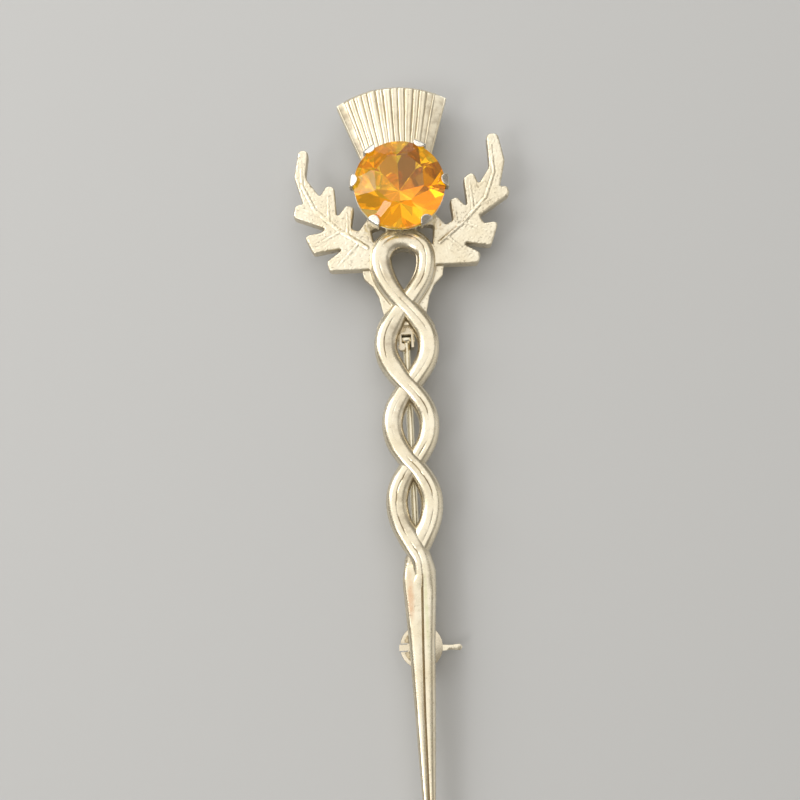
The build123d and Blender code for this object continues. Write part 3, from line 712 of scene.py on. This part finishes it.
def makeTuft(look):
    whole = sum(pleat[0] for pleat in look["pleats"])
    rise, corner, half = look["rise"], look["cornerRise"], look["cornerHalf"]
    arcCentre = (rise ** 2 - corner ** 2 - half ** 2) / (2 * (rise - corner))
    arcRadius = rise - arcCentre

    # Height where a ray of the fan meets the curved top, found by halving
    def top(share):
        low, high = 0.0, rise * look["searchReach"]
        for _ in range(look["searchSteps"]):
            middle = (low + high) / 2
            inside = (share * tuftHalf(middle, look)) ** 2 + (middle - arcCentre) ** 2 < arcRadius ** 2
            low, high = (middle, high) if inside else (low, middle)
        return low

    columns = []  # place across, crest, stain, pleat
    left = 0.0
    for number, (width, crest, split, dirty) in enumerate(look["pleats"]):
        count = max(3, round(width * look["pointsAcross"]))
        for step in range(count):
            share = step / count
            # place across the half of the pleat on this side of its finer valley
            finer = share / split if share < split else (share - split) / (1 - split)
            crown = pleatCrown(share)
            if split:
                crown = (1 - look["finerShare"]) * crown + look["finerShare"] * pleatCrown(finer)
            valley = look["dirtyValley"] if step == 0 else 0.0
            if split and abs(share - split) < 0.5 / count:
                valley = look["dirtyValley"] * look["finerValley"]
            across = (left + width * share) / whole * 2 - 1
            columns.append((across, crest * crown, max(dirty, valley), number))
        left += width
    columns.append((1.0, 0.0, 0.0, len(look["pleats"])))
    tops = [top(column[0]) for column in columns]
    turned = Matrix.Rotation(headTurn, 4, "Z")
    rows, stains = [], []

    def wander(across, y, steps, layer):
        return noise.noise(Vector((across * steps[0], y * steps[1], layer)))

    for up in range(look["rowsUp"] + 1):
        along = 1 - (1 - up / look["rowsUp"]) ** look["crowding"]
        fade = 1 - look["edgeFall"] * max(0.0, (along - look["edgeFrom"]) / (1 - look["edgeFrom"])) ** 2
        upper, lower, dirt = [], [], []
        for (share, crest, dirty, number), high in zip(columns, tops):
            y = between(look["foot"], high, along)
            half = tuftHalf(y, look)
            x = share * half
            lower.append((x, y, -look["below"]))
            if abs(share) < look["bandFrom"]:
                x += look["sway"] * wander(number, y, look["swaySteps"], 0.0)
                x += look["waver"] * wander(share, y, look["waverSteps"], 9.0)
            uneven = 1 + look["uneven"] * wander(number, y, look["unevenSteps"], 5.0)
            rise = look["arch"] * (1 - share ** 2) + crest * uneven * half / look["headHalf"]
            upper.append((x, y, look["thickness"] + rise * fade - look["sunk"]))
            patchy = look["dirtMean"] + look["dirtWander"] * wander(number, y, look["dirtSteps"], 2.0)
            patchy = max(look["dirtLeast"], patchy)
            dirt.append(dirty * patchy * min(1.0, (1 - along) * look["dirtFade"]))
        rows.append([tuple(turned @ Vector(point) + castingAt) for point in upper + lower[::-1]])
        stains.append(dirt + [0.0] * len(lower))
    return skinned("tuft", rows, stains, unevenEnds=True)


handOver(makeTuft(tuft), tuftMetal, "brooch", "thistle_body", angle=60, slot="cast_silver")
print("tuft made")

# Leaves, boss and pad: the casting's low plate, softened, with veins raised on the leaves
plate = dict(
    height=1.235, above=0.005, lowest=-15.6, voxel=0.068, smoothing=9, kept=0.49,
    # a vein's ridge, and the fine dips along its sides
    leafReach=12.25, veinRise=0.060, veinHalf=0.16, veinDip=0.045, dipAt=0.21, dipHalf=0.10, dirtyDip=0.36,
    # how a ridge's width and its dips' place grow with its size
    ridgeGrowth=(0.6, 0.5), dipGrowth=(0.7, 0.4),
    # the cast grain, and from which height up and how far out it is strong
    grainRise=0.036, grainSize=0.20, finerGrain=2.3, finerShare=0.6, dirtyPit=0.50, pitFrom=0.35,
    topFrom=0.55, topOver=0.35, leafFrom=3.3, leafOver=0.9, plainGrain=0.35,
    # what is left of the solid's tuft, and how far the low corners go down over the findings
    tuftFrom=3.0, tuftAside=0.15, tuftWidth=0.95, tuftHeight=0.5, tuftBack=0.3, lowShare=0.2, lowBy=0.011,
    # start and end of each vein as shares of the leaf's reach, and its size at both
    veins=(
        ((0.330, -0.500), (0.560, -0.330), 1.7, 1.5), ((0.560, -0.330), (0.780, -0.110), 1.5, 1.3),
        ((0.780, -0.110), (0.880, 0.130), 1.3, 0.9), ((0.880, 0.130), (0.880, 0.400), 0.9, 0.3),
        ((0.500, -0.375), (0.490, -0.170), 0.7, 0.3), ((0.660, -0.235), (0.650, 0.060), 0.8, 0.3),
        ((0.720, -0.175), (0.920, -0.085), 0.7, 0.3), ((0.560, -0.330), (0.800, -0.450), 0.8, 0.3),
        ((0.400, -0.450), (0.620, -0.670), 0.8, 0.3),
    ),
)


# The veins at a place on either leaf, each a low ridge with a fine dip along both sides: height and dirt
def veinAt(x, y, look):
    x = abs(x) / look["leafReach"]
    y = y / look["leafReach"]
    ridge, dip = 0.0, 0.0
    for (x0, y0), (x1, y1), wide, narrow in look["veins"]:
        dx, dy = x1 - x0, y1 - y0
        share = max(0.0, min(1.0, ((x - x0) * dx + (y - y0) * dy) / (dx * dx + dy * dy)))
        away = hypot(x - x0 - dx * share, y - y0 - dy * share) * look["leafReach"]
        size = between(wide, narrow, share)
        ridgeBase, ridgeSlope = look["ridgeGrowth"]
        dipBase, dipSlope = look["dipGrowth"]
        ridge = max(ridge, (1 - away / (look["veinHalf"] * (ridgeBase + ridgeSlope * size))) * size)
        fromDip = abs(away - look["dipAt"] * (dipBase + dipSlope * size))
        dip = max(dip, (1 - fromDip / look["dipHalf"]) * min(1.0, size))
    if ridge > 0:
        return ridge * look["veinRise"], 0.0
    return -dip * look["veinDip"], dip * look["dirtyDip"]


headPlate = workingCopy("thistle_body", "headPlate")
keepBeyond(headPlate, (0, 0, backHeight + plate["above"]), (0, 0, 1))
keepBeyond(headPlate, (0, 0, backHeight + plate["height"]), (0, 0, -1))
keepBeyond(headPlate, (0, stoneAt.y + plate["lowest"], 0), (0, 1, 0))
soften(headPlate, plate["voxel"], plate["smoothing"])
turnedBack = Matrix.Rotation(-headTurn, 4, "Z")
turnedOn = Matrix.Rotation(headTurn, 4, "Z")
plateStains = []
for corner in headPlate.data.vertices:
    local = turnedBack @ (corner.co - castingAt)
    dirty = 0.0
    if local.y > plate["tuftFrom"] and abs(local.x) < tuftHalf(local.y, tuft) + plate["tuftAside"]:
        # what is left of the tuft here hides inside the new one
        x, y, z = local.x * plate["tuftWidth"], local.y - plate["tuftBack"], local.z * plate["tuftHeight"]
        corner.co = turnedOn @ Vector((x, y, z)) + castingAt
    elif local.z > plate["height"] * plate["topFrom"]:
        onLeaf = smoothStep((abs(local.x) - plate["leafFrom"]) / plate["leafOver"])
        near = smoothStep((local.z / plate["height"] - plate["topFrom"]) / plate["topOver"])
        place = corner.co / plate["grainSize"]
        grain = noise.noise(place) + plate["finerShare"] * noise.noise(place * plate["finerGrain"])
        lift, dirt = veinAt(local.x, local.y, plate) if onLeaf > 0 else (0.0, 0.0)
        pitted = plate["grainRise"] * grain * between(plate["plainGrain"], 1.0, onLeaf)
        corner.co.z += (lift * onLeaf + pitted) * near
        dirty = dirt * onLeaf * near + max(0.0, -grain - plate["pitFrom"]) * plate["dirtyPit"] * near
    if local.z < plate["height"] * plate["lowShare"]:
        corner.co.z -= plate["lowBy"]
    plateStains.append(min(1.0, dirty))
stainOn(headPlate, plateStains)
finishModifier(headPlate, "DECIMATE", ratio=plate["kept"])
handOver(headPlate, leafMetal, "brooch", "thistle_body", slot="cast_silver")
print("head plate made")

# Findings on the back, crisp with a small edge. The catch base has two shallow recesses, each between
# two angles about its middle.
catch = dict(
    at=(0.0, -17.95), recessReach=1.84, recessDepth=0.24, recessAbove=0.2, recessSteps=12,
    recesses=((106, 163), (197, 254)), edge=0.035,
    below=0.004,  # how far under the casting's back the findings start
)


# A slice of a round block about the catch's middle, between two angles
def catchSlice(start, end, look):
    atX, atY = look["at"]
    ring = [look["at"]]
    for step in range(look["recessSteps"] + 1):
        angle = radians(start + (end - start) * step / look["recessSteps"])
        ring.append((atX + look["recessReach"] * cos(angle), atY + look["recessReach"] * sin(angle)))
    heights = (backHeight - look["recessDepth"], backHeight + look["recessAbove"])
    corners = [(x, y, z) for z in heights for x, y in ring]
    count = len(ring)
    faces = [tuple(reversed(range(count))), tuple(range(count, 2 * count))]
    faces += [(step, (step + 1) % count, count + (step + 1) % count, count + step) for step in range(count)]
    mesh = bpy.data.meshes.new("catchSlice")
    mesh.from_pydata(corners, [], faces)
    block = bpy.data.objects.new("catchSlice", mesh)
    bpy.context.scene.collection.objects.link(block)
    return block


findings = workingCopy("thistle_body", "backFindings")
keepBeyond(findings, (0, 0, backHeight - catch["below"]), (0, 0, -1))
for start, end in catch["recesses"]:
    block = catchSlice(start, end, catch)
    finishModifier(findings, "BOOLEAN", object=block, operation="DIFFERENCE", solver="EXACT")
    bpy.data.objects.remove(block)
breakEdges(findings, catch["edge"])
handOver(findings, findingsShadedMetal, "brooch", "thistle_body", angle=35, slot="cast_silver")

# The setting, worn soft
settingWear = dict(voxel=0.061, smoothing=14)
setting = workingCopy("claw_setting", "clawSetting")
soften(setting, settingWear["voxel"], settingWear["smoothing"])
handOver(setting, settingMetal, "brooch", "claw_setting", slot="bright_silver")

# Pin, rivet and sleeve: name, metal, body, slot and width of the broken edges
fittings = dict(
    brooch_pin=("broochPin", pinMetal, "pin", "pin_steel", 0.02),
    hinge_rivet=("hingeRivet", pinMetal, "brooch", "pin_steel", 0.015),
    catch_sleeve=("catchSleeve", sleeveMetal, "catch", "cast_silver", 0.05),
)
# The sleeve's lever, with a waist and a rounded end: places along it and how wide it is there
lever = ((2.50, 1.00), (2.90, 0.84), (3.30, 0.86), (3.70, 1.00), (4.00, 1.06), (4.18, 0.92), (4.30, 0.62))
leverTip = 0.35  # the stretch at its end that gives its middle line
leverLast = 0.02  # no cut is made nearer to its end than this


def shapeLever(piece, end):
    tip = [corner.co.copy() for corner in piece.data.vertices if corner.co.x > end - leverTip]
    axis = Vector([(min(co[i] for co in tip) + max(co[i] for co in tip)) / 2 for i in range(3)])
    for place, _ in lever:
        if place < end - leverLast:
            bpy.ops.object.mode_set(mode="EDIT")
            bpy.ops.mesh.select_all(action="SELECT")
            bpy.ops.mesh.bisect(plane_co=(place, 0, 0), plane_no=(1, 0, 0))
            bpy.ops.object.mode_set(mode="OBJECT")
    for corner in piece.data.vertices:
        if corner.co.x > lever[0][0]:
            size = rowAt(lever, corner.co.x)[1]
            corner.co.y = between(axis.y, corner.co.y, size)
            corner.co.z = between(axis.z, corner.co.z, size)


for node, (name, metal, carrier, slot, edge) in fittings.items():
    piece = workingCopy(node, name)
    if node == "catch_sleeve":
        shapeLever(piece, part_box(node)[1].x / mm)
    breakEdges(piece, edge)
    handOver(piece, metal, carrier, node, angle=35, slot=slot)

# The stone, with the foil of each facet under the girdle in its own tone
stone = workingCopy("amber_stone", "amberStone")
girdleRadius = (stoneHigh.x - stoneLow.x) / 2
girdleMiddle = Vector((0, stoneAt.y, stoneLow.z + stoneLook["depth"]))
for number in range(stoneLook["facets"]):
    angle = headTurn + 2 * pi * (number + 0.5) / stoneLook["facets"]
    outward = Vector((cos(angle), sin(angle), 0))
    inward = Vector((0, 0, 1)) - outward * stoneLook["smallSlope"]
    keepBeyond(stone, girdleMiddle + outward * girdleRadius, inward)
breakEdges(stone, stoneLook["edge"], stoneLook["crispTurn"])
handOver(stone, amberGlass, "brooch", "amber_stone", angle=stoneLook["smoothTurn"], slot="amber")
for foil in amberFoils.values():
    stone.data.materials.append(foil)
foilNames = list(amberFoils)
allFacets = 2 * stoneLook["facets"]  # wide and small ones in turn
for face in stone.data.polygons:
    if face.normal.z < stoneLook["foilBelow"]:
        share = (atan2(face.normal.y, face.normal.x) - headTurn) / (2 * pi) + 0.5
        around = round(share * allFacets) % allFacets
        tone = stoneLook["small" if around % 2 else "wide"][around // 2]
        face.material_index = 1 + foilNames.index(tone)
print("fittings and stone made")

# Floor, light and camera
studio = dict(
    floorSize=3.0, floorColour=(0.56, 0.565, 0.57), floorRoughness=0.7,
    roomColour=(1.0, 0.93, 0.80), roomLight=0.27,
    # direction in the photograph's axes, distance, width and height in metres, power and colour
    lights=dict(
        overheadLight=((-0.22, 0.30, 0.92), 0.55, 1.10, 1.00, 2.75, (1.0, 0.99, 0.97)),
        keyLight=((-0.80, 0.35, 0.55), 0.45, 0.22, 0.30, 0.50, (1.0, 0.99, 0.96)),
        topLight=((-0.10, 0.90, 0.42), 0.50, 0.50, 0.22, 0.45, (0.97, 0.99, 1.0)),
        rightLight=((0.92, -0.10, 0.32), 0.50, 0.50, 0.40, 0.26, (1.0, 0.98, 0.95)),
        frontLight=((-0.58, -0.52, 0.72), 0.50, 0.16, 0.16, 0.40, (1.0, 0.99, 0.97)),
    ),
)

bpy.ops.object.select_all(action="DESELECT")
bpy.ops.mesh.primitive_plane_add(size=studio["floorSize"], location=(0, 0, 0))
floor = bpy.context.object
floor.name = "floor"
floorPaint = Finish("floorPaint")
floorPaint.set("Base Color", (*studio["floorColour"], 1.0))
floorPaint.set("Roughness", studio["floorRoughness"])
floor.data.materials.append(floorPaint.material)

world = bpy.data.worlds.new("softRoom")
bpy.context.scene.world = world
world.use_nodes = True
background = world.node_tree.nodes["Background"]
background.inputs["Color"].default_value = (*studio["roomColour"], 1.0)
background.inputs["Strength"].default_value = studio["roomLight"]

camera = dict(
    tilt=10.0, turn=2.7, focal=40.5, sensor=36.0, distance=97.83, aim=(-1.02, 8.12, 2.70), near=0.001,
)
turn = radians(camera["turn"])
tilt = radians(camera["tilt"])


# A direction in the photograph's level axes, in the brooch's axes
def fromPhoto(x, y, z):
    return Vector((x * cos(turn) + y * sin(turn), -x * sin(turn) + y * cos(turn), z))


aim = Vector(camera["aim"])
eye = aim + fromPhoto(0, -sin(tilt), cos(tilt)) * camera["distance"]
view = bpy.data.cameras.new("view")
view.lens = camera["focal"]
view.sensor_width = camera["sensor"]
view.clip_start = camera["near"]
viewer = bpy.data.objects.new("view", view)
bpy.context.scene.collection.objects.link(viewer)
back = (eye - aim).normalized()
up = fromPhoto(0, cos(tilt), sin(tilt))
right = up.cross(back)
viewer.matrix_world = Matrix((
    (right.x, up.x, back.x, eye.x * mm),
    (right.y, up.y, back.y, eye.y * mm),
    (right.z, up.z, back.z, eye.z * mm),
    (0, 0, 0, 1),
))
bpy.context.scene.camera = viewer


def softBox(name, direction, distance, width, height, power, colour):
    lamp = bpy.data.lights.new(name, "AREA")
    lamp.shape = "RECTANGLE"
    lamp.size = width
    lamp.size_y = height
    lamp.energy = power
    lamp.color = colour
    obj = bpy.data.objects.new(name, lamp)
    bpy.context.scene.collection.objects.link(obj)
    spot = aim * mm + fromPhoto(*direction).normalized() * distance
    obj.location = spot
    obj.rotation_euler = (aim * mm - spot).to_track_quat("-Z", "Y").to_euler()


for name, settings in studio["lights"].items():
    softBox(name, *settings)
bpy.context.scene.view_settings.view_transform = "Standard"
print("studio made")
